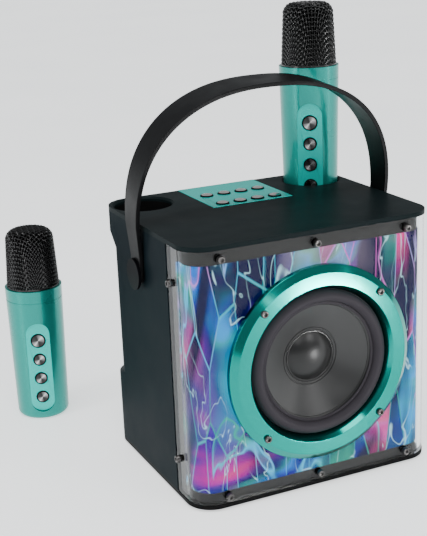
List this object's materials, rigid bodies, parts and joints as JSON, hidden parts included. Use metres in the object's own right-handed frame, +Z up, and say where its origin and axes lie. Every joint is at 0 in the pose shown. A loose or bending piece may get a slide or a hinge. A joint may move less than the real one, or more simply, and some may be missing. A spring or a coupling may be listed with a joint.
{
  "type": "karaoke speaker",
  "caption": "Portable karaoke speaker: boxy cabinet with a clear lit front, one woofer, strap handle, top buttons, cups for microphones and cordless microphones.",
  "frame": {"origin": "on the floor, in the plane of the base ring's underside, under the middle of the cabinet", "axes": "+Z up, the front with the woofer faces -Y, +X to the right seen from the front"},
  "size_m": [0.2692, 0.2765, 0.3415],
  "materials": {
    "rubber": "matt rubber",
    "dark_plastic": "fine grain",
    "shell_plastic": "satin, fine grain",
    "cover_plastic": "satin, fine grain",
    "picture": "printed translucent sheet, lit from behind",
    "clear": "clear polished acrylic",
    "screw_steel": "black-grey steel with bright rims",
    "teal_gloss": "metallic gloss paint",
    "teal_satin": "satin paint",
    "basket_metal": "black paint",
    "magnet": "dark ferrite and plated steel",
    "surround_rubber": "matt rubber",
    "spider_cloth": "treated cloth",
    "cone": "satin moulded cone",
    "cap_gloss": "gloss black",
    "copper": "enamelled wire",
    "board": "solder mask",
    "battery_sleeve": "shrink sleeve",
    "light_board": "white solder mask",
    "socket_plastic": "moulded",
    "handle_plastic": "satin black",
    "handle_rubber": "matt black rubber",
    "chrome": "domed, polished",
    "grille_steel": "black woven wire",
    "spun_metal": "spun finish",
    "capsule": "plain"
  },
  "bodies": {
    "cabinet": {"base_ring": "rubber", "bottom_plate": "dark_plastic", "cabinet_shell": "shell_plastic", "top_cover": "cover_plastic", "left_mic_cup": "dark_plastic", "right_mic_cup": "dark_plastic", "front_frame": "dark_plastic", "graphic_panel": "picture", "lens": "clear", "lens_spacers": "dark_plastic", "lens_screws": "screw_steel", "trim_ring": "teal_gloss", "ring_screws": "screw_steel", "driver_basket": "basket_metal", "driver_magnet": "magnet", "driver_surround": "surround_rubber", "driver_spider": "spider_cloth", "control_panel": "teal_satin", "control_board": "board", "main_board": "board", "battery_pack": "battery_sleeve", "light_boards": "light_board", "rear_cover": "dark_plastic", "rear_cover_screws": "screw_steel", "bottom_screws": "screw_steel", "rear_sockets": "socket_plastic", "handle_pins": "handle_plastic", "handle_spacers": "handle_plastic"},
    "handle": {"handle_strap": "handle_rubber"},
    "woofer": {"driver_cone": "cone", "dust_cap": "cap_gloss", "voice_coil": "copper"},
    "power_slider": {"power_switch": "dark_plastic"},
    "power_key": {"power_button": "chrome"},
    "mode_key": {"mode_button": "chrome"},
    "light_key": {"light_button": "chrome"},
    "echo_key": {"echo_button": "chrome"},
    "previous_key": {"previous_button": "chrome"},
    "play_key": {"play_button": "chrome"},
    "next_key": {"next_button": "chrome"},
    "record_key": {"record_button": "chrome"},
    "held_mic": {"held_mic_body": "teal_gloss", "held_mic_grille": "grille_steel", "held_mic_panel": "teal_satin", "held_mic_capsule": "capsule", "held_mic_board": "board"},
    "held_mic_power_key": {"held_mic_power_button": "spun_metal"},
    "held_mic_up_key": {"held_mic_up_button": "spun_metal"},
    "held_mic_down_key": {"held_mic_down_button": "spun_metal"},
    "held_mic_voice_key": {"held_mic_voice_button": "spun_metal"},
    "standing_mic": {"standing_mic_body": "teal_gloss", "standing_mic_grille": "grille_steel", "standing_mic_panel": "teal_satin", "standing_mic_capsule": "capsule", "standing_mic_board": "board"},
    "standing_mic_power_key": {"standing_mic_power_button": "spun_metal"},
    "standing_mic_up_key": {"standing_mic_up_button": "spun_metal"},
    "standing_mic_down_key": {"standing_mic_down_button": "spun_metal"},
    "standing_mic_voice_key": {"standing_mic_voice_button": "spun_metal"}
  },
  "joints": [
    {"name": "handle_swing", "type": "hinge", "parent": "cabinet", "child": "handle", "pos_m": [0, 0.0045, 0.16], "axis": [1, 0, 0], "range_deg": [-9, 36]},
    {"name": "woofer_stroke", "type": "slide", "parent": "cabinet", "child": "woofer", "axis": [0, -1, 0], "range_m": [-0.002, 0.002], "stiffness_N_per_m": 1500, "deforming": ["driver_surround", "driver_spider"]},
    {"name": "power_slide", "type": "slide", "parent": "cabinet", "child": "power_slider", "axis": [1, 0, 0], "range_m": [0, 0.004]},
    {"name": "power_press", "type": "slide", "parent": "cabinet", "child": "power_key", "axis": [0, 0, -1], "range_m": [0, 0.0008], "stiffness_N_per_m": 400, "springref_m": -0.0005},
    {"name": "mode_press", "type": "slide", "parent": "cabinet", "child": "mode_key", "axis": [0, 0, -1], "range_m": [0, 0.0008], "stiffness_N_per_m": 400, "springref_m": -0.0005},
    {"name": "light_press", "type": "slide", "parent": "cabinet", "child": "light_key", "axis": [0, 0, -1], "range_m": [0, 0.0008], "stiffness_N_per_m": 400, "springref_m": -0.0005},
    {"name": "echo_press", "type": "slide", "parent": "cabinet", "child": "echo_key", "axis": [0, 0, -1], "range_m": [0, 0.0008], "stiffness_N_per_m": 400, "springref_m": -0.0005},
    {"name": "previous_press", "type": "slide", "parent": "cabinet", "child": "previous_key", "axis": [0, 0, -1], "range_m": [0, 0.0008], "stiffness_N_per_m": 400, "springref_m": -0.0005},
    {"name": "play_press", "type": "slide", "parent": "cabinet", "child": "play_key", "axis": [0, 0, -1], "range_m": [0, 0.0008], "stiffness_N_per_m": 400, "springref_m": -0.0005},
    {"name": "next_press", "type": "slide", "parent": "cabinet", "child": "next_key", "axis": [0, 0, -1], "range_m": [0, 0.0008], "stiffness_N_per_m": 400, "springref_m": -0.0005},
    {"name": "record_press", "type": "slide", "parent": "cabinet", "child": "record_key", "axis": [0, 0, -1], "range_m": [0, 0.0008], "stiffness_N_per_m": 400, "springref_m": -0.0005},
    {"name": "held_mic_lift", "type": "slide", "parent": "cabinet", "child": "held_mic", "axis": [0, 0, 1], "range_m": [0, 0.06]},
    {"name": "held_mic_power_press", "type": "slide", "parent": "held_mic", "child": "held_mic_power_key", "axis": [0.4879, 0.8729, 0], "range_m": [0, 0.0006], "stiffness_N_per_m": 400, "springref_m": -0.0005},
    {"name": "held_mic_up_press", "type": "slide", "parent": "held_mic", "child": "held_mic_up_key", "axis": [0.4879, 0.8729, 0], "range_m": [0, 0.0006], "stiffness_N_per_m": 400, "springref_m": -0.0005},
    {"name": "held_mic_down_press", "type": "slide", "parent": "held_mic", "child": "held_mic_down_key", "axis": [0.4879, 0.8729, 0], "range_m": [0, 0.0006], "stiffness_N_per_m": 400, "springref_m": -0.0005},
    {"name": "held_mic_voice_press", "type": "slide", "parent": "held_mic", "child": "held_mic_voice_key", "axis": [0.4879, 0.8729, 0], "range_m": [0, 0.0006], "stiffness_N_per_m": 400, "springref_m": -0.0005},
    {"name": "standing_mic_lift", "type": "slide", "parent": "cabinet", "child": "standing_mic", "axis": [0, 0, 1], "range_m": [0, 0.1]},
    {"name": "standing_mic_power_press", "type": "slide", "parent": "standing_mic", "child": "standing_mic_power_key", "axis": [0.2689, 0.9632, 0], "range_m": [0, 0.0006], "stiffness_N_per_m": 400, "springref_m": -0.0005},
    {"name": "standing_mic_up_press", "type": "slide", "parent": "standing_mic", "child": "standing_mic_up_key", "axis": [0.2689, 0.9632, 0], "range_m": [0, 0.0006], "stiffness_N_per_m": 400, "springref_m": -0.0005},
    {"name": "standing_mic_down_press", "type": "slide", "parent": "standing_mic", "child": "standing_mic_down_key", "axis": [0.2689, 0.9632, 0], "range_m": [0, 0.0006], "stiffness_N_per_m": 400, "springref_m": -0.0005},
    {"name": "standing_mic_voice_press", "type": "slide", "parent": "standing_mic", "child": "standing_mic_voice_key", "axis": [0.2689, 0.9632, 0], "range_m": [0, 0.0006], "stiffness_N_per_m": 400, "springref_m": -0.0005}
  ]
}
